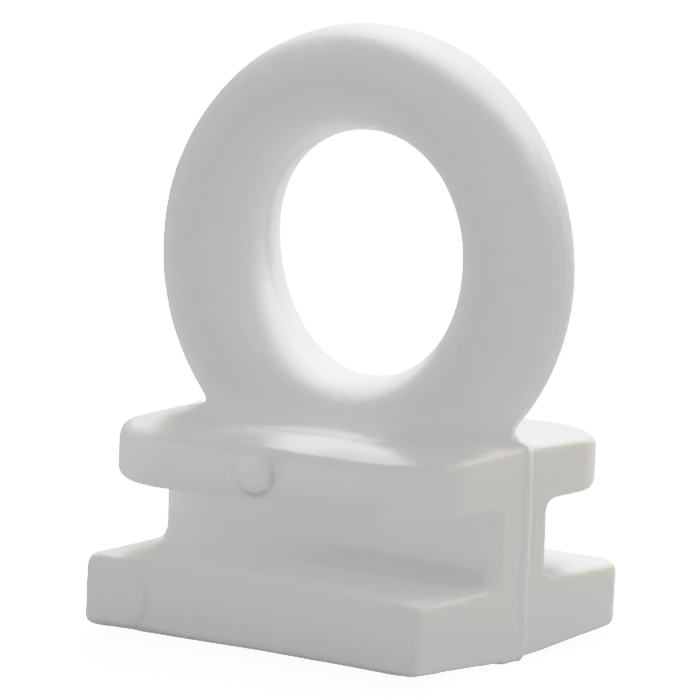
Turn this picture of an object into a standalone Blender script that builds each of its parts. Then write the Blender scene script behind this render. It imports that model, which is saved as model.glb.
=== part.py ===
"""Slide-in ring insulator for electric fence rope: one solid moulding.

An upright ring (the rope eye) stands on an H-section foot: an upper flange, a neck
and a slightly wider lower flange. The foot slides along X into a slotted rail or post.
The two-part tool opens along Y, so y = 0 is the parting plane. The sole has a narrow
flat land along that plane and rises a little on both sides of it.

Frame: origin on the parting plane, under the ring's centre, on the sole's land.
+X along the foot, +Y through the ring's hole, +Z up. Blender units are metres;
the dimensions below are millimetres.
"""

import math

import bmesh
import bpy

MM = 0.001

# ---- ring ----
RING_OUTER_R = 15.5
RING_INNER_R = 8.2
RING_THICKNESS = 7.5        # along Y
RING_CENTRE_Z = 25.0
EYE_SHIFT_X = 0.35          # the eye sits a little off the rim's centre
EYE_SHIFT_Z = 0.48          # and above it, so the ring is thicker towards its foot
SECTION_POWER = 2.2         # 2 is an ellipse; larger is boxier
RING_STEPS = 72             # facets round the ring
SECTION_STEPS = 24          # facets round its section

# ---- foot ----
FOOT_HALF_LENGTH = 13.4     # X
LOWER_HALF_DEPTH = 12.85    # Y
UPPER_HALF_DEPTH = 12.4     # Y
NECK_HALF_DEPTH = 3.3       # Y
SOLE_LAND_HALF_DEPTH = 2.0  # Y
SOLE_RISE = 0.6             # from the land to the sole's long edges
LOWER_TOP_AT_NECK = 5.15
LOWER_TOP_AT_EDGE = 5.0
UPPER_BOTTOM = 10.2
UPPER_TOP_AT_CENTRE = 14.1
UPPER_TOP_AT_EDGE = 13.75

# Corners are named by the signs of their x and y
ALL_CORNERS = {(1, 1), (1, -1), (-1, 1), (-1, -1)}
SHARP_CORNER = {(1, -1)}    # the lower flange's one tight corner

# Rounding of the upright edges, in the order it is applied:
# half depth of the edges, corners, plan radius, segments
CORNER_ROUNDS = [
    (NECK_HALF_DEPTH, ALL_CORNERS, 1.1, 3),
    (UPPER_HALF_DEPTH, ALL_CORNERS, 5.8, 8),
    (LOWER_HALF_DEPTH, ALL_CORNERS - SHARP_CORNER, 2.0, 4),
    (LOWER_HALF_DEPTH, SHARP_CORNER, 0.4, 2),
]

# Rounding of the flanges' top and bottom rims
RIM_ROUND = 0.55
RIM_SEGMENTS = 2
RIM_NECK_CLEARANCE = 0.6    # edges nearer the neck in Y than this aren't rims

# Limits on normal components when picking out the rims
FLAT_MIN_Z = 0.9            # tops and bottoms, including the sloping ones
WALL_MAX_Z = 0.1            # upright walls
END_MIN_X = 0.999           # the foot's plane end faces

MATCH_TOLERANCE = 0.02      # for finding edges by position
MERGE_DISTANCE = 0.01       # for closing up vertices after rounding
SHARP_ANGLE = math.radians(30)


def clear_scene():
    for obj in list(bpy.data.objects):
        bpy.data.objects.remove(obj, do_unlink=True)
    for collection in list(bpy.data.collections):
        bpy.data.collections.remove(collection)


def new_collection(name):
    collection = bpy.data.collections.new(name)
    bpy.context.scene.collection.children.link(collection)
    return collection


def nylon_material():
    """White nylon with a satin surface."""
    material = bpy.data.materials.new("white_nylon")
    material.use_nodes = True
    inputs = material.node_tree.nodes["Principled BSDF"].inputs
    inputs["Base Color"].default_value = (0.80, 0.80, 0.78, 1.0)
    inputs["Roughness"].default_value = 0.45
    inputs["Metallic"].default_value = 0.0
    return material


def object_from(bm, name, collection):
    bmesh.ops.recalc_face_normals(bm, faces=bm.faces)
    mesh = bpy.data.meshes.new(name)
    bm.to_mesh(mesh)
    bm.free()
    obj = bpy.data.objects.new(name, mesh)
    collection.objects.link(obj)
    return obj


def foot_profile():
    """The foot's H-shaped cross-section in the YZ plane, as (y, z), in order of outline."""
    right = [
        (SOLE_LAND_HALF_DEPTH, 0.0),
        (LOWER_HALF_DEPTH, SOLE_RISE),
        (LOWER_HALF_DEPTH, LOWER_TOP_AT_EDGE),
        (NECK_HALF_DEPTH, LOWER_TOP_AT_NECK),
        (NECK_HALF_DEPTH, UPPER_BOTTOM),
        (UPPER_HALF_DEPTH, UPPER_BOTTOM),
        (UPPER_HALF_DEPTH, UPPER_TOP_AT_EDGE),
    ]
    left = [(-y, z) for y, z in reversed(right)]
    return right + [(0.0, UPPER_TOP_AT_CENTRE)] + left


def extruded_foot():
    """The foot's profile drawn out along X, all edges still sharp."""
    bm = bmesh.new()
    outline = [
        bm.verts.new((-FOOT_HALF_LENGTH * MM, y * MM, z * MM)) for y, z in foot_profile()
    ]
    face = bm.faces.new(outline)
    extruded = bmesh.ops.extrude_face_region(bm, geom=[face])
    far_end = [v for v in extruded["geom"] if isinstance(v, bmesh.types.BMVert)]
    bmesh.ops.translate(bm, verts=far_end, vec=(2 * FOOT_HALF_LENGTH * MM, 0, 0))
    bmesh.ops.recalc_face_normals(bm, faces=bm.faces)
    return bm


def near(first, second):
    return abs(first - second) < MATCH_TOLERANCE


def upright_edges(bm, half_depth, corners):
    """Upright edges at |y| = half_depth, on the given corners."""
    found = []
    for edge in bm.edges:
        start, end = (vert.co / MM for vert in edge.verts)
        upright = near(start.x, end.x) and near(start.y, end.y) and not near(start.z, end.z)
        corner = (math.copysign(1, start.x), math.copysign(1, start.y))
        if upright and near(abs(start.y), half_depth) and corner in corners:
            found.append(edge)
    return found


def rim_edges(bm):
    """Edges between a flange's top or bottom and its side walls, not its plane ends."""
    bm.normal_update()
    found = []
    for edge in bm.edges:
        if len(edge.link_faces) != 2:
            continue
        flat, wall = sorted(edge.link_faces, key=lambda face: -abs(face.normal.z))
        if abs(flat.normal.z) < FLAT_MIN_Z or abs(wall.normal.z) > WALL_MAX_Z:
            continue
        middle = (edge.verts[0].co + edge.verts[1].co) / 2 / MM
        clear_of_neck = abs(middle.y) > NECK_HALF_DEPTH + RIM_NECK_CLEARANCE
        if clear_of_neck and abs(wall.normal.x) < END_MIN_X:
            found.append(edge)
    return found


def round_edges(bm, edges, radius, segments):
    bmesh.ops.bevel(
        bm,
        geom=edges,
        offset=radius * MM,
        offset_type="OFFSET",
        segments=segments,
        profile=0.5,  # circular
        affect="EDGES",
        clamp_overlap=True,
    )


def make_foot(name, collection):
    """The H section with its upright corners, then its rims, rounded."""
    bm = extruded_foot()
    for half_depth, corners, radius, segments in CORNER_ROUNDS:
        round_edges(bm, upright_edges(bm, half_depth, corners), radius, segments)
    round_edges(bm, rim_edges(bm), RIM_ROUND, RIM_SEGMENTS)
    bmesh.ops.remove_doubles(bm, verts=bm.verts, dist=MERGE_DISTANCE * MM)
    return object_from(bm, name, collection)


def section_coordinate(value):
    """Push a sine or cosine outwards, to make the ring's section a superellipse."""
    return math.copysign(abs(value) ** (2 / SECTION_POWER), value)


def ring_point(ring_angle, section_angle):
    """A point on the ring's surface, in metres."""
    across = section_coordinate(math.cos(section_angle))  # 1 at the rim, -1 at the eye
    along_y = section_coordinate(math.sin(section_angle))
    middle_r = (RING_OUTER_R + RING_INNER_R) / 2
    radius = middle_r + (RING_OUTER_R - RING_INNER_R) / 2 * across
    eye_share = (1 - across) / 2  # 0 at the rim, 1 at the eye
    x = radius * math.cos(ring_angle) + eye_share * EYE_SHIFT_X
    y = along_y * (RING_THICKNESS / 2)
    z = radius * math.sin(ring_angle) + eye_share * EYE_SHIFT_Z + RING_CENTRE_Z
    return (x * MM, y * MM, z * MM)


def make_ring(name, collection):
    """A rounded section lofted round the ring, as it grows towards the foot."""
    bm = bmesh.new()
    sections = [
        [
            bm.verts.new(ring_point(2 * math.pi * i / RING_STEPS, 2 * math.pi * j / SECTION_STEPS))
            for j in range(SECTION_STEPS)
        ]
        for i in range(RING_STEPS)
    ]
    for i, here in enumerate(sections):
        there = sections[(i + 1) % RING_STEPS]
        for j in range(SECTION_STEPS):
            k = (j + 1) % SECTION_STEPS
            bm.faces.new((here[j], here[k], there[k], there[j]))
    return object_from(bm, name, collection)


def main():
    clear_scene()
    parts = new_collection("fence_ring_insulator")
    helpers = new_collection("helpers")

    body = make_foot("insulator_body", parts)
    body.data.materials.append(nylon_material())

    ring = make_ring("ring_blank", helpers)
    ring.hide_render = True
    ring.display_type = "WIRE"

    union = body.modifiers.new("ring_union", "BOOLEAN")
    union.operation = "UNION"
    union.solver = "EXACT"
    union.object = ring

    body.data.shade_smooth()
    body.data.set_sharp_from_angle(angle=SHARP_ANGLE)


main()
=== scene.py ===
"""Looks for the slide-in ring insulator: one moulded body in satin white nylon.

An upright ring stands on a foot made of two flanges joined by a neck. Z is up, the front is -Y and
the foot is long in X; the sole lies near z = 0 and the eye of the ring opens along Y. The body is
an implicit surface in millimetres, negative inside, turned into a closed mesh in metres.
"""

import itertools
import math
import bmesh
import bpy
import numpy as np
from mathutils import Matrix, Vector


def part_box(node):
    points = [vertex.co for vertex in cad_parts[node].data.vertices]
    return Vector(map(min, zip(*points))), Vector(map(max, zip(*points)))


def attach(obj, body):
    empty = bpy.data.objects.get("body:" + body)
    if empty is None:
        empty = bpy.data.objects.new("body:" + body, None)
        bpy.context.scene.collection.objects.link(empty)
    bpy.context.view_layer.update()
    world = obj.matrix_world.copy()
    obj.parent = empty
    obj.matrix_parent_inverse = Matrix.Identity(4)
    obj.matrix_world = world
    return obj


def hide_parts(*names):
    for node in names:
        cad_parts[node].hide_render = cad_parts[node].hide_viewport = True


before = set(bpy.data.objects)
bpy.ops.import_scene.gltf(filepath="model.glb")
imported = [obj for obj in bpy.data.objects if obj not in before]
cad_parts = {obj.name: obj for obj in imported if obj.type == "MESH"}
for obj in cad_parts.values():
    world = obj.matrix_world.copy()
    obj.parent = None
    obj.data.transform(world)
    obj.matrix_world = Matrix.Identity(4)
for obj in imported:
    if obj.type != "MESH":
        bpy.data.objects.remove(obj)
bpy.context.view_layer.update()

MM = 0.001
low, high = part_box("insulator_body")

# ---------------------------------------------------------------- dimensions, mm
RING_R = (high.x - low.x) / 2 / MM
RING_TOP = high.z / MM
RING_Z = RING_TOP - RING_R
RING_HALF_T = 3.75
RING_POWER = 2.2            # exponent of the ring's section, 2 being an ellipse
RING_UNDERSIZE = 0.05
EYE_R = 8.2
EYE_SHIFT_X, EYE_SHIFT_Z = 0.35, 0.48
# waves that put the two circles slightly out of true: height, waves per turn, phase
EYE_WAVES = ((0.11, 3, 0), (-0.08, 4, 0.8))
OUTER_WAVES = ((0.09, 2, 0), (-0.05, 3, 0))

HALF_L = 13.4
LOWER_W, UPPER_W = high.y / MM, 12.4                # half-depths of the flanges
NECK_Y, NECK_W = -0.15, 3.25
NECK_MID_Z, NECK_HALF_H, NECK_EDGE_R = 7.5, 5.0, 0.2
LOWER_EDGE_Z, LOWER_NECK_Z = 5.0, 5.15              # top of the lower flange, rim and neck
LOWER_BULGE = 0.2
UPPER_Z0, UPPER_Z1, UPPER_FALL = 10.2, 14.1, 0.028  # underside, top, fall per mm of y
LAND, LAND_BLEND, SOLE_SLOPE = 2.0, 0.8, 0.6 / 10.85
SOLE_DROP, UPPER_DROP = 0.12, 0.2                   # how far the -X end droops
BACK_SOLE_STEP = 0.12
UPPER_CORNER, LOWER_CORNER, SHARP_CORNER, NECK_CORNER = 5.8, 2.0, 0.4, 1.1
FLANGE_BLEND, RING_BLEND, NUB_BLEND = 0.8, 1.4, 0.2

NUB_CENTRE, NUB_HALF_X, NUB_HALF_Y, NUB_R = (12.6, -1.1, 0.2), 0.5, 0.8, 0.32

FOOT_SEAM, RING_SEAM, SEAM_WIDTH = 0.15, 0.03, 0.21
CREASE_DEPTH, CREASE_SHIFT, CREASE_WIDTH = 0.085, 0.2, 0.42
HALF_STEP = 0.05

# x, z, radius, groove depth, half-depth of the flange, deepest side as an angle
PIN_MARKS = (
    (0.2, 12.2, 1.5, 0.24, UPPER_W, -0.9),
    (-9.9, 2.8, 2.35, 0.075, LOWER_W, 0.3),
)
PIN_GROOVE_WIDTH, PIN_CROWN = 0.26, 0.35            # crown is a share of the groove depth

# sinking and hand finish of the whole surface: height, shift, cell, seed
UNEVENNESS = ((0.035, 31.7, 5.5, 3), (0.012, 11.1, 2.1, 5), (0.007, 7.3, 0.85, 9))

FINE_STEP, QUICK_STEP = 0.239, 0.4                  # grid steps of the mesh
CUBE = tuple(itertools.product((0, 1), repeat=3))
HASH_FACTORS = (374761393, 668265263, 2147483647)


# ---------------------------------------------------------------- field kit
def blend(first, second, width):
    """Union of two fields with a fillet; a negative width gives a blended maximum."""
    share = np.clip(0.5 + 0.5 * (second - first) / width, 0, 1)
    return second * (1 - share) + first * share - width * share * (1 - share)


def trim(first, second, radius):
    """Intersection of two fields with its edge rounded."""
    return np.minimum(np.maximum(first, second), -radius) + np.hypot(
        np.maximum(first + radius, 0), np.maximum(second + radius, 0)
    )


def smooth(value, start, end):
    """Eased step from 0 at start to 1 at end, in either direction."""
    part = np.clip((value - start) / (end - start), 0, 1)
    return part * part * (3 - 2 * part)


def band(value, rise, fall):
    """Rises over the first range and falls back over the second."""
    return smooth(value, *rise) * (1 - smooth(value, *fall))


def bell(value, centre, width):
    return np.exp(-(((value - centre) / width) ** 2))


def plan(x, y, length, width, corner):
    """Distance to a rounded rectangle given by half-sizes, and how far the nearest edge has
    turned: 0 on the long sides, 1 on the ends."""
    past_x = np.abs(x) - length + corner
    past_y = np.abs(y) - width + corner
    distance = (
        np.minimum(np.maximum(past_x, past_y), 0)
        + np.hypot(np.maximum(past_x, 0), np.maximum(past_y, 0))
        - corner
    )
    return distance, smooth((past_x - past_y) / (2 * corner) + 0.5, 0, 1)


def noise(points, shift, cell, seed):
    """Smooth repeatable noise in [-1, 1] on a lattice of the given cell size."""
    scaled = (points + shift) / cell
    node = np.floor(scaled).astype(np.int64)
    part = scaled - node
    part = part * part * part * (part * (part * 6 - 15) + 10)
    total = 0
    for corner in CUBE:
        mixed = (node + corner) @ np.array(HASH_FACTORS, np.int64) + seed * 974634777
        mixed = (mixed ^ (mixed >> 13)) * 1274126177
        mixed = mixed ^ (mixed >> 16)
        weight = np.where(corner, part, 1 - part).prod(axis=1)
        total = total + weight * ((mixed & 0xFFFF) / 32767.5 - 1)
    return total


# ---------------------------------------------------------------- the moulding
def wavy(radius, angle, waves):
    for height, count, phase in waves:
        radius = radius + height * np.sin(count * angle + phase)
    return radius


def ring_field(x, y, z):
    """Ring with an off-centre eye and a superelliptic section."""
    rise = z - RING_Z
    rho = np.hypot(x, rise) + 1e-9
    cosine, sine = x / rho, rise / rho
    angle = np.arctan2(sine, cosine)
    inner = wavy(EYE_R + EYE_SHIFT_X * cosine + EYE_SHIFT_Z * sine, angle, EYE_WAVES)
    outer = wavy(RING_R - RING_UNDERSIZE, angle, OUTER_WAVES)
    middle, half = (outer + inner) / 2, (outer - inner) / 2
    across = np.abs((rho - middle) / half) + 1e-9
    along = np.abs(y / RING_HALF_T) + 1e-9
    size = (across**RING_POWER + along**RING_POWER) ** (1 / RING_POWER)
    slope_across = (across / size) ** (RING_POWER - 1) / half
    slope_along = (along / size) ** (RING_POWER - 1) / RING_HALF_T
    return (size - 1) / np.hypot(slope_across, slope_along)


def lower_flange(x, y, z, droop):
    """Flange with a sloping sole and one sharper corner at +X in front."""
    off_centre = np.abs(y)
    corner = np.where((x > 0) & (y < 0), SHARP_CORNER, LOWER_CORNER)
    outline, turn = plan(x, y, HALF_L, LOWER_W, corner)
    fall = LOWER_NECK_Z - LOWER_EDGE_Z
    top = LOWER_NECK_Z - fall * (off_centre - NECK_W) / (LOWER_W - NECK_W)
    top = top + LOWER_BULGE * (1 - (x / HALF_L) ** 2) * smooth(y, -NECK_W, -LOWER_W)
    sole = SOLE_SLOPE * blend(off_centre - LAND, 0, -LAND_BLEND) - SOLE_DROP * droop
    sole = sole + BACK_SOLE_STEP * smooth(y, 0, 0.5)
    # edges are rounded less at the ends and by the sharp corner
    near_sharp = 1 - smooth(np.hypot(x - HALF_L, y + LOWER_W), 1.5, 6.0)
    top_r = (0.95 - 0.45 * smooth(turn, 0.6, 1)) * (1 - 0.4 * near_sharp)
    sole_r = (0.80 - 0.35 * turn) * (1 - 0.45 * near_sharp)
    return trim(trim(outline, z - top, top_r), sole - z, sole_r)


def upper_flange(x, y, z, droop):
    outline, turn = plan(x, y, HALF_L, UPPER_W, UPPER_CORNER)
    level = z + UPPER_DROP * droop
    top = UPPER_Z1 - UPPER_FALL * np.abs(y)
    ends = smooth(turn, 0.6, 1)
    flange = trim(outline, level - top, 1.05 - 0.58 * ends)
    return trim(flange, UPPER_Z0 - level, 0.95 - 0.5 * ends)


def neck_field(x, y, z):
    """Wall between the flanges; only the open part has rounded upright corners."""
    wall = trim(np.abs(y - NECK_Y) - NECK_W, np.abs(z - NECK_MID_Z) - NECK_HALF_H, NECK_EDGE_R)
    outline, _ = plan(x, y - NECK_Y, HALF_L, NECK_W, NECK_CORNER)
    is_open = (z > LOWER_EDGE_Z) & (z < UPPER_Z0)
    return np.where(is_open, np.maximum(wall, outline), wall)


def foot_field(x, y, z):
    droop = smooth(x, 2.0, -HALF_L)
    foot = blend(lower_flange(x, y, z, droop), neck_field(x, y, z), FLANGE_BLEND)
    foot = blend(foot, upper_flange(x, y, z, droop), FLANGE_BLEND)
    return np.maximum(foot, np.abs(x) - HALF_L)


def gate_nub(x, y, z):
    """Rounded pad under the +X end, in front of the parting line."""
    centre_x, centre_y, centre_z = NUB_CENTRE
    past_x = np.maximum(np.abs(x - centre_x) - NUB_HALF_X, 0)
    past_y = np.maximum(np.abs(y - centre_y) - NUB_HALF_Y, 0)
    return np.sqrt(past_x**2 + past_y**2 + (z - centre_z) ** 2) - NUB_R


def seam_line(x, z):
    """Where the parting line runs in y, and how much a point belongs to the foot and to the eye."""
    on_foot = smooth(z, 16.5, 13.5)
    in_eye = smooth(np.hypot(x, z - RING_Z), 10.5, 9.5) * (1 - on_foot)
    seam_y = 0.12 + 0.06 * np.sin(z * 0.75 + 0.6) + 0.04 * np.sin(x * 0.9) - 0.55 * in_eye
    return seam_y, on_foot, in_eye


def seam_relief(points):
    """Raised seam, shallow crease in the eye, and the step between the halves at +X."""
    x, y, z = points.T
    seam_y, on_foot, in_eye = seam_line(x, z)
    # the seam stands higher towards +X on the foot
    height = FOOT_SEAM * on_foot * (0.35 + 0.65 * smooth(x, -2, 2)) + RING_SEAM * (1 - on_foot)
    height = height * (1 + 0.35 * noise(points, shift=3.1, cell=1.7, seed=21))
    # the crease is deepest low in the eye
    depth = CREASE_DEPTH * in_eye * (0.35 + 0.65 * smooth(z, RING_Z + 4, RING_Z - 4))
    # at the +X end the front half of the foot stands back a little
    step = HALF_STEP * on_foot * smooth(y, seam_y - 0.1, seam_y - 0.5) * smooth(x, 11.5, 13.0)
    crease = depth * bell(y, seam_y + CREASE_SHIFT, CREASE_WIDTH)
    return crease - height * bell(y, seam_y, SEAM_WIDTH) + step


def pin_relief(x, y, z):
    """Ejector-pin marks in the front edges: a lopsided ring groove round a low crown."""
    relief = 0
    for pin_x, pin_z, radius, depth, half_depth, side in PIN_MARKS:
        distance = np.hypot(x - pin_x, z - pin_z)
        front = smooth(y, -half_depth + 1.6, -half_depth + 0.6)
        lean = 0.62 + 0.38 * np.cos(np.arctan2(z - pin_z, x - pin_x) - side)
        groove = bell(distance, radius, PIN_GROOVE_WIDTH) * lean
        crown = PIN_CROWN * (1 - smooth(distance, radius * 0.2, radius))
        relief = relief + front * depth * (groove - crown)
    return relief


def body_field(points):
    x, y, z = points.T
    field = blend(ring_field(x, y, z), foot_field(x, y, z), RING_BLEND)
    field = blend(field, gate_nub(x, y, z), NUB_BLEND)
    field = field + seam_relief(points) + pin_relief(x, y, z)
    for height, shift, cell, seed in UNEVENNESS:
        field = field + height * noise(points, shift, cell, seed)
    return field


# ---------------------------------------------------------------- tints by position
# Most of this brightness is painted shade and painted highlight, baked into the colour.
# Each shade function returns what it adds to a brightness of 1. The factors are strengths,
# limits and widths are in mm, and the coarse and fine noise break the edges up.
BLOT_X, BLOT_Z, BLOT_HALF_W, BLOT_HALF_H = 1.95, 12.6, 0.6, 0.95
SPECKS = ((-9.5, -4.4, 0.5), (-7.6, -6.1, 0.35), (-6.6, -8.6, 0.3))  # x, y, radius
# x, y, z, radius
WARM_SPOTS = ((-10.3, -4.9, 13.9, 1.8), (-9.9, -8.3, 5.0, 1.6), (11.6, -2.0, 15.0, 1.5))


def ring_shade(x, y, z, coarse, fine):
    """Painted shade across the front of the ring, a broken painted highlight line on its sides, and
    painted light in the eye.
    """
    rho = np.hypot(x, z - RING_Z)
    face = smooth(y, -1.6, -3.0) * smooth(z, 14.5, 16.5)
    dark = 0.36 * bell(rho, 11.7 + 0.3 * coarse, 1.6) * (1 + 0.2 * fine)
    line = bell(rho, 12.0 + 0.2 * coarse, 0.22) * smooth(np.abs(x) / rho, 0.55, 0.9)
    pale = 0.14 * line * smooth(fine, -0.2, 0.6)
    eye = 0.09 * smooth(rho, 9.6, 8.8) * smooth(z, RING_Z, RING_Z - 4)
    return face * (pale - dark) + eye


def front_shade(x, y, z, coarse, fine):
    """Painted shade in the hollows and on the flange edges of the front, and painted light on the
    neck.
    """
    front = smooth(y, -2.6, -3.4)
    # painted shade in the corner between the neck and the lower flange
    corner = bell(z, 5.85, 0.85) * band(x, (-8, 4), (12.2, 13.0)) * smooth(y, -5.2, -4.2)
    corner = 0.42 * front * corner * (1 + 0.12 * coarse)
    # painted shadow in the fillet under the ring
    fillet = bell(z, 14.35, 0.65) * band(x, (4.5, 7.0), (11.3, 12.6)) * smooth(y, -6.2, -4.9)
    fillet = 0.38 * front * fillet * (1 + 0.15 * coarse)
    # painted shade on the front edge of the lower flange, darker towards the sole
    edge = smooth(y, -11.5, -12.5) * (0.34 + 0.20 * smooth(z, 4.8, 0.6)) * (z < 7)
    edge = edge * (1 + 0.08 * coarse)
    # painted shade along the lower front edge of the upper flange
    under = bell(z, 10.7, 0.75) * smooth(y, -11.4, -12.1) * band(x, (-11, 0), (9.5, 12.5))
    under = 0.38 * under * (1 + 0.2 * coarse)
    # painted light on the neck's front, in the groove between the flanges
    neck = 0.12 * band(y, (-3.9, -3.6), (-3.3, -3.0)) * smooth(z, 6.6, 7.6) * (z < 10.5)
    return neck - corner - fillet - edge - under


def painted_shade_and_specks(x, y, z):
    """Painted contact shadow along the sole, and painted shade with specks on top of the upper
    flange.
    """
    rise = z - SOLE_SLOPE * np.maximum(np.abs(y) - LAND, 0)
    # painted contact shadow along the sole's edge
    sole_shadow = 0.72 * bell(np.maximum(rise, 0), 0, 0.24)
    # painted shade on the top of the upper flange, at the back and at the front left
    shade_zones = smooth(y, 3.5, 4.5) + 1.6 * smooth(y, -4.5, -6.0) * smooth(x, -9.5, -6.5)
    top_shade = smooth(z, 13.0, 13.6) * (z < 15.5) * shade_zones * (1 - smooth(np.abs(x), 12.2, 13.0))
    dark = sole_shadow + 0.13 * top_shade
    for speck_x, speck_y, radius in SPECKS:
        spot = bell(np.hypot(x - speck_x, y - speck_y), 0, radius)
        dark = dark + 0.25 * spot * smooth(z, 12.5, 13.3) * (z < 15)
    return -dark


def seam_shade(x, y, z):
    """Painted highlight on the seam with painted shade along its front side on the foot's ends, and
    painted shade in the crease in the eye.
    """
    seam_y, on_foot, in_eye = seam_line(x, z)
    ends = (on_foot * smooth(np.abs(x), 12.9, 13.2) + in_eye) * on_foot
    # painted highlight on the seam, painted shade just in front of it
    crest = 0.25 * bell(y, seam_y, 0.28) - 0.06 * bell(y, seam_y - 0.45, 0.18)
    # painted shade in the eye's crease
    return ends * crest - 0.08 * in_eye * bell(y, seam_y + 0.2, 0.3)


def pin_shade(x, y, z, coarse, fine):
    """Darker lines in the pin grooves, and a blot beside the upper one."""
    blot = bell(np.hypot((x - BLOT_X) / BLOT_HALF_W, (z - BLOT_Z) / BLOT_HALF_H), 0, 1)
    dark = 0.5 * blot * smooth(y, -11.0, -11.6) * (1 + 0.35 * fine)
    for pin_x, pin_z, radius, depth, half_depth, side in PIN_MARKS:
        distance = np.hypot(x - pin_x, z - pin_z)
        angle = np.arctan2(z - pin_z, x - pin_x)
        lean = np.clip(0.45 + 0.75 * np.cos(angle - side), 0.12, 1)
        front = smooth(y, -half_depth + 1.4, -half_depth + 0.8)
        groove = 2.4 * depth * bell(distance, radius + 0.05 * coarse, 0.24)
        dark = dark + front * groove * lean * (1 + 0.35 * fine)
    return -dark


def shade(points):
    """Brightness: painted shade below 1 and painted highlights above 1, with darker pin grooves,
    specks and a blot.
    """
    place = tuple(points.T)
    coarse = noise(points, shift=5.3, cell=0.9, seed=31)
    fine = noise(points, shift=17.9, cell=0.45, seed=33)
    total = 1 + painted_shade_and_specks(*place) + seam_shade(*place)
    for part in (ring_shade, front_shade, pin_shade):
        total = total + part(*place, coarse, fine)
    return np.clip(total, 0.2, 1.12)


def warmth(points):
    """Warm tint in a few spots and towards the +X end."""
    x, _, z = points.T
    total = 0
    for *centre, radius in WARM_SPOTS:
        total = total + bell(np.linalg.norm(points - centre, axis=1), 0, radius)
    total = total + 0.42 * smooth(x, 12.6, 13.35) * (z < 16)
    return np.clip(total + 0.05 * noise(points, shift=2.2, cell=2.6, seed=41), 0, 1)


# ---------------------------------------------------------------- mesh from the field
def sample_grid(origin, step, shape):
    grid = np.empty(shape)
    axes = (origin[k] + step * np.arange(shape[k]) for k in (1, 2))
    y, z = (values.ravel() for values in np.meshgrid(*axes, indexing="ij"))
    for i in range(shape[0]):
        points = np.column_stack([np.full(y.size, origin[0] + step * i), y, z])
        grid[i] = body_field(points).reshape(shape[1:])
    return grid


def window(array, start, shape):
    return array[tuple(slice(first, first + size) for first, size in zip(start, shape))]


def clear_saddles(grid):
    """Where the surface grazes the grid, four nodes of a cell face can come out in, out, in, out,
    and four faces would share one edge. The outer node nearest the surface is taken as inside."""
    for _ in range(8):
        inside = grid < 0
        found = False
        for axis in range(3):
            steps = np.zeros((4, 3), int)
            steps[1:3, (axis + 1) % 3] = 1
            steps[2:4, (axis + 2) % 3] = 1
            shape = np.array(grid.shape) - steps.max(0)
            first, second, third, fourth = (window(inside, step, shape) for step in steps)
            saddle = (first == third) & (second == fourth) & (first != second)
            for cell in np.argwhere(saddle):
                nodes = [tuple(cell + step) for step in steps]
                outer = [node for node in nodes if grid[node] >= 0]
                if len(outer) == 2:
                    grid[min(outer, key=lambda node: grid[node])] = -1e-6
                    found = True
        if not found:
            break


def cell_points(grid, cells):
    """Mean of the points where the surface crosses each cell's edges, in grid steps."""
    total, hits = np.zeros((len(cells), 3)), np.zeros((len(cells), 1))
    for start, axis in itertools.product(CUBE, range(3)):
        if start[axis]:
            continue
        along = np.eye(3, dtype=int)[axis]
        near = grid[tuple((cells + start).T)]
        far = grid[tuple((cells + start + along).T)]
        cross = (near < 0) != (far < 0)
        part = np.where(cross, near / np.where(cross, near - far, 1), 0)
        total += np.where(cross[:, None], start + part[:, None] * along, 0)
        hits += cross[:, None]
    return cells + total / hits


def surface_nets(grid, origin, step):
    """One vertex in each cell the surface crosses, one quad round each crossed grid edge."""
    inside = grid < 0
    shape = np.array(grid.shape)
    count = np.zeros(shape - 1, np.int8)
    for corner in CUBE:
        count += window(inside, corner, count.shape)
    active = (count > 0) & (count < 8)
    cells = np.argwhere(active)
    ids = np.full(active.shape, -1, np.int64)
    ids[active] = np.arange(len(cells))
    quads = []
    for axis in range(3):
        sides = [(axis + 1) % 3, (axis + 2) % 3]
        along, side_1, side_2 = np.eye(3, dtype=int)[[axis, *sides]]
        near = window(inside, (0, 0, 0), shape - along)
        far = window(inside, along, shape - along)
        node = np.argwhere(near != far)
        kept = (node[:, sides] >= 1) & (node[:, sides] < shape[sides] - 1)
        node = node[kept.all(axis=1)]
        offsets = (side_1 + side_2, side_2, 0, side_1)
        quad = np.stack([ids[tuple((node - offset).T)] for offset in offsets], 1)
        quads.append(np.where(near[tuple(node.T)][:, None], quad, quad[:, ::-1]))
    return np.array(origin) + step * cell_points(grid, cells), np.concatenate(quads)


def gradient(points, reach):
    slopes = np.empty_like(points)
    for k, offset in enumerate(reach * np.eye(3)):
        slopes[:, k] = (body_field(points + offset) - body_field(points - offset)) / (2 * reach)
    return slopes


def unit(vectors):
    return vectors / np.maximum(np.linalg.norm(vectors, axis=1, keepdims=True), 1e-9)


def settle(points, faces):
    """Evens the mesh out and puts every vertex on the surface."""
    edges = np.concatenate([faces[:, [i, (i + 1) % 4]] for i in range(4)])
    for _ in range(3):
        near = np.zeros_like(points)
        degree = np.zeros((len(points), 1))
        for start, end in (edges.T, edges.T[::-1]):
            np.add.at(near, start, points[end])
            np.add.at(degree, start, 1)
        normals = unit(gradient(points, reach=0.02))
        move = near / degree - points
        move -= normals * (move * normals).sum(1, keepdims=True)
        points = points + 0.45 * move
        for _ in range(2):
            slopes = gradient(points, reach=0.02)
            steepness = np.maximum((slopes * slopes).sum(1), 0.05)
            travel = np.clip(body_field(points) / steepness, -0.2, 0.2)
            points = points - travel[:, None] * slopes
    return points


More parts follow.
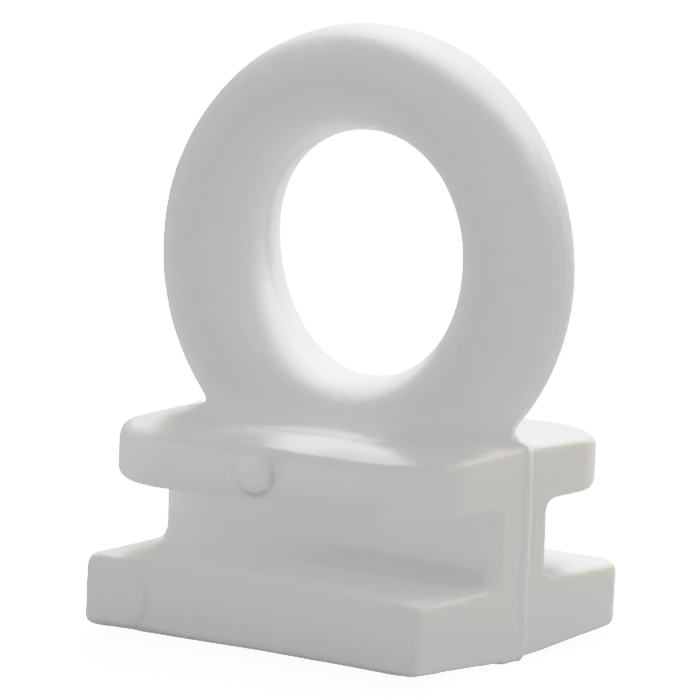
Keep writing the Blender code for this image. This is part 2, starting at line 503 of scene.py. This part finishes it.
def build_body(step):
    margin = 2.5 * step
    origin = np.array([-RING_R, -LOWER_W, -0.2]) - margin
    end = np.array([RING_R, LOWER_W, RING_TOP]) + 0.1 + margin
    grid = sample_grid(origin, step, tuple(np.ceil((end - origin) / step).astype(int) + 1))
    clear_saddles(grid)
    points, quads = surface_nets(grid, origin, step)
    points = settle(points, quads)
    mesh = bpy.data.meshes.new("insulator_moulding")
    mesh.vertices.add(len(points))
    mesh.vertices.foreach_set("co", (points * MM).astype(np.float32).ravel())
    mesh.loops.add(quads.size)
    mesh.loops.foreach_set("vertex_index", quads.astype(np.int32).ravel())
    mesh.polygons.add(len(quads))
    mesh.polygons.foreach_set("loop_start", np.arange(0, quads.size, 4, dtype=np.int32))
    mesh.polygons.foreach_set("use_smooth", np.ones(len(quads), bool))
    mesh.update(calc_edges=True)
    mesh.validate()
    normals = unit(gradient(points, reach=0.03))
    mesh.normals_split_custom_set_from_vertices([tuple(normal) for normal in normals])
    for tint in (shade, warmth):
        layer = mesh.attributes.new(tint.__name__, "FLOAT", "POINT")
        layer.data.foreach_set("value", tint(points).astype(np.float32))
    return mesh


# ---------------------------------------------------------------- materials
WHITE = (1, 1, 1, 1)


def empty_tree(owner):
    owner.use_nodes = True
    owner.node_tree.nodes.clear()
    return owner.node_tree


def add_node(tree, kind, inputs=None, **settings):
    """New shader node; an input given as a socket is linked, any other is set."""
    node = tree.nodes.new("ShaderNode" + kind)
    for name, value in settings.items():
        setattr(node, name, value)
    for name, value in (inputs or {}).items():
        if isinstance(value, bpy.types.NodeSocket):
            tree.links.new(value, node.inputs[name])
        else:
            node.inputs[name].default_value = value
    return node


def nylon():
    """White nylon, cloudy and mottled, tinted by the mesh's shade and warmth."""
    material = bpy.data.materials.new("white_nylon")
    tree = empty_tree(material)
    coord = add_node(tree, "TexCoord").outputs["Object"]

    def texture(scale, detail, roughness):
        inputs = {"Scale": scale, "Detail": detail, "Roughness": roughness, "Vector": coord}
        return add_node(tree, "TexNoise", inputs).outputs["Fac"]

    def remap(value, source, target):
        inputs = {"From Min": source[0], "From Max": source[1]}
        inputs |= {"To Min": target[0], "To Max": target[1], "Value": value}
        return add_node(tree, "MapRange", inputs).outputs["Result"]

    def mix(blend_type, factor, first, second):
        inputs = {0: factor, 6: first, 7: second}
        node = add_node(tree, "Mix", inputs, data_type="RGBA", blend_type=blend_type)
        return node.outputs[2]

    def attribute(name):
        return add_node(tree, "Attribute", attribute_name=name).outputs["Fac"]

    cloud = remap(texture(scale=140, detail=3, roughness=0.5), (0.35, 0.65), (0, 1))
    base = mix("MIX", cloud, (0.858, 0.861, 0.856, 1), (0.885, 0.886, 0.880, 1))
    base = mix("MIX", attribute("warmth"), base, (0.895, 0.862, 0.730, 1))
    mottle = remap(texture(scale=1500, detail=2, roughness=0.7), (0.3, 0.7), (0.978, 1.010))
    # the shade attribute carries painted shade and painted highlights into the colour
    dim = add_node(tree, "Math", {0: attribute("shade"), 1: mottle}, operation="MULTIPLY")
    grain = texture(scale=2600, detail=4, roughness=0.6)
    bump = add_node(tree, "Bump", {"Strength": 0.35, "Distance": 0.00006, "Height": grain})
    surface = add_node(tree, "BsdfPrincipled", {
        "Base Color": mix("MULTIPLY", 1.0, base, dim.outputs[0]),
        "Roughness": remap(grain, (0.3, 0.7), (0.40, 0.56)),
        "Normal": bump.outputs["Normal"],
        "IOR": 1.53,
        "Subsurface Weight": 0.5,
        "Subsurface Radius": (1.0, 0.95, 0.88),
        "Subsurface Scale": 0.0012,
        "Specular IOR Level": 0.2,
    })
    add_node(tree, "OutputMaterial", {"Surface": surface.outputs["BSDF"]})
    return material


def floor_material():
    """Pale diffuse floor that also glows, but only to the camera."""
    material = bpy.data.materials.new("pale_floor")
    tree = empty_tree(material)
    diffuse = add_node(tree, "BsdfDiffuse", {"Color": (0.62, 0.62, 0.62, 1)})
    seen = add_node(tree, "LightPath").outputs["Is Camera Ray"]
    strength = add_node(tree, "Math", {0: seen, 1: 2.1}, operation="MULTIPLY").outputs[0]
    glow = add_node(tree, "Emission", {"Color": WHITE, "Strength": strength})
    both = add_node(tree, "AddShader", {0: diffuse.outputs[0], 1: glow.outputs[0]})
    add_node(tree, "OutputMaterial", {"Surface": both.outputs[0]})
    return material


# ---------------------------------------------------------------- stage, light, camera
LIGHT_TARGET, LIGHT_DISTANCE = Vector((0, 0, 0.02)), 0.6    # metres

# name, azimuth from +X towards +Y and elevation in degrees, width in metres, watts:
# a bank of small soft boxes, then large weak fills
LIGHTS = (
    ("key_30", 30, 30, 0.13, 0.50),
    ("key_45", 45, 36, 0.13, 0.44),
    ("key_72", 72, 36, 0.13, 0.70),
    ("key_98", 98, 58, 0.13, 1.05),
    ("key_120", 120, 34, 0.13, 0.86),
    ("key_135", 135, 60, 0.13, 0.72),
    ("fill_left", 216, 40, 0.30, 0.70),
    ("fill_top", 288, 68, 0.30, 0.54),
    ("fill_front", 270, 12, 0.30, 0.44),
)

# high-key view curve, scene brightness to display: lifted shadows, a steep step into highlights
FULL = 2.5
TONE = (
    (0.0, 0.10), (0.05, 0.310), (0.10, 0.385), (0.20, 0.444), (0.30, 0.466), (0.40, 0.484),
    (0.50, 0.530), (0.66, 0.760), (0.85, 0.860), (1.10, 0.890), (1.50, 0.915), (FULL, 1.0),
)

# azimuth from -Y towards +X, elevation and roll, in degrees
CAM_AZIMUTH, CAM_ELEVATION, CAM_ROLL = 34.0, 8.45, 2.2
CAM_DISTANCE = 387.5                    # from the ring's centre, mm
CAM_RIGHT, CAM_UP = 1.020408, 6.030283  # ring's centre from the middle of the view, mm
CAM_SENSOR, CAM_LENS = 36, 302.715      # mm


def set_tone(view):
    view.view_transform = "Standard"
    view.use_curve_mapping = True
    mapping = view.curve_mapping
    mapping.white_level = (FULL, FULL, FULL)
    points = mapping.curves[3].points
    points[0].location = TONE[0]
    points[1].location = (1.0, TONE[-1][1])
    for scene_value, shown in TONE[1:-1]:
        points.new(scene_value / FULL, shown)
    for point in points:
        point.handle_type = "VECTOR"
    mapping.update()


def add_world():
    """White to the camera, unlit to everything else."""
    world = bpy.data.worlds.new("studio")
    bpy.context.scene.world = world
    tree = empty_tree(world)
    unlit, backdrop = (
        add_node(tree, "Background", {"Color": WHITE, "Strength": strength}).outputs[0]
        for strength in (0.0, 2.6)
    )
    seen = add_node(tree, "LightPath").outputs["Is Camera Ray"]
    mix = add_node(tree, "MixShader", {0: seen, 1: unlit, 2: backdrop})
    add_node(tree, "OutputWorld", {"Surface": mix.outputs[0]})


def add_light(name, azimuth, elevation, width, power):
    data = bpy.data.lights.new(name, "AREA")
    data.shape = "ELLIPSE"
    data.size = data.size_y = width
    data.energy = power
    light = bpy.data.objects.new(name, data)
    bpy.context.scene.collection.objects.link(light)
    turn, tilt = math.radians(azimuth), math.radians(elevation)
    flat = math.cos(tilt)
    away = Vector((math.cos(turn) * flat, math.sin(turn) * flat, math.sin(tilt)))
    light.location = LIGHT_TARGET + away * LIGHT_DISTANCE
    light.rotation_euler = (-away).to_track_quat("-Z", "Y").to_euler()


def add_floor(height):
    disc = bmesh.new()
    bmesh.ops.create_circle(disc, cap_ends=True, segments=96, radius=2.5)
    mesh = bpy.data.meshes.new("floor")
    disc.to_mesh(mesh)
    disc.free()
    floor = bpy.data.objects.new("floor", mesh)
    floor.location.z = height
    mesh.materials.append(floor_material())
    bpy.context.scene.collection.objects.link(floor)


def add_camera():
    turn, tilt, roll = (math.radians(a) for a in (CAM_AZIMUTH, CAM_ELEVATION, CAM_ROLL))
    flat = math.cos(tilt)
    back = Vector((math.sin(turn) * flat, -math.cos(turn) * flat, math.sin(tilt)))
    level = Vector((math.cos(turn), math.sin(turn), 0))
    upright = back.cross(level)
    right = level * math.cos(roll) + upright * math.sin(roll)
    up = upright * math.cos(roll) - level * math.sin(roll)
    centre = Vector((0, 0, RING_Z))
    pose = Matrix((right, up, back)).transposed().to_4x4()
    pose.translation = (centre - right * CAM_RIGHT - up * CAM_UP + back * CAM_DISTANCE) * MM
    data = bpy.data.cameras.new("camera")
    data.sensor_width = CAM_SENSOR
    data.lens = CAM_LENS
    data.clip_start = 0.01
    data.clip_end = 20
    camera = bpy.data.objects.new("camera", data)
    camera.matrix_world = pose
    bpy.context.scene.collection.objects.link(camera)
    bpy.context.scene.camera = camera


def main():
    scene = bpy.context.scene
    set_tone(scene.view_settings)
    mesh = build_body(FINE_STEP)
    body = bpy.data.objects.new("insulator_moulding", mesh)
    scene.collection.objects.link(body)
    mesh.materials.append(nylon())
    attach(body, "root")
    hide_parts("insulator_body")

    add_world()
    for light in LIGHTS:
        add_light(*light)
    add_floor(min(vertex.co.z for vertex in mesh.vertices))
    add_camera()


main()
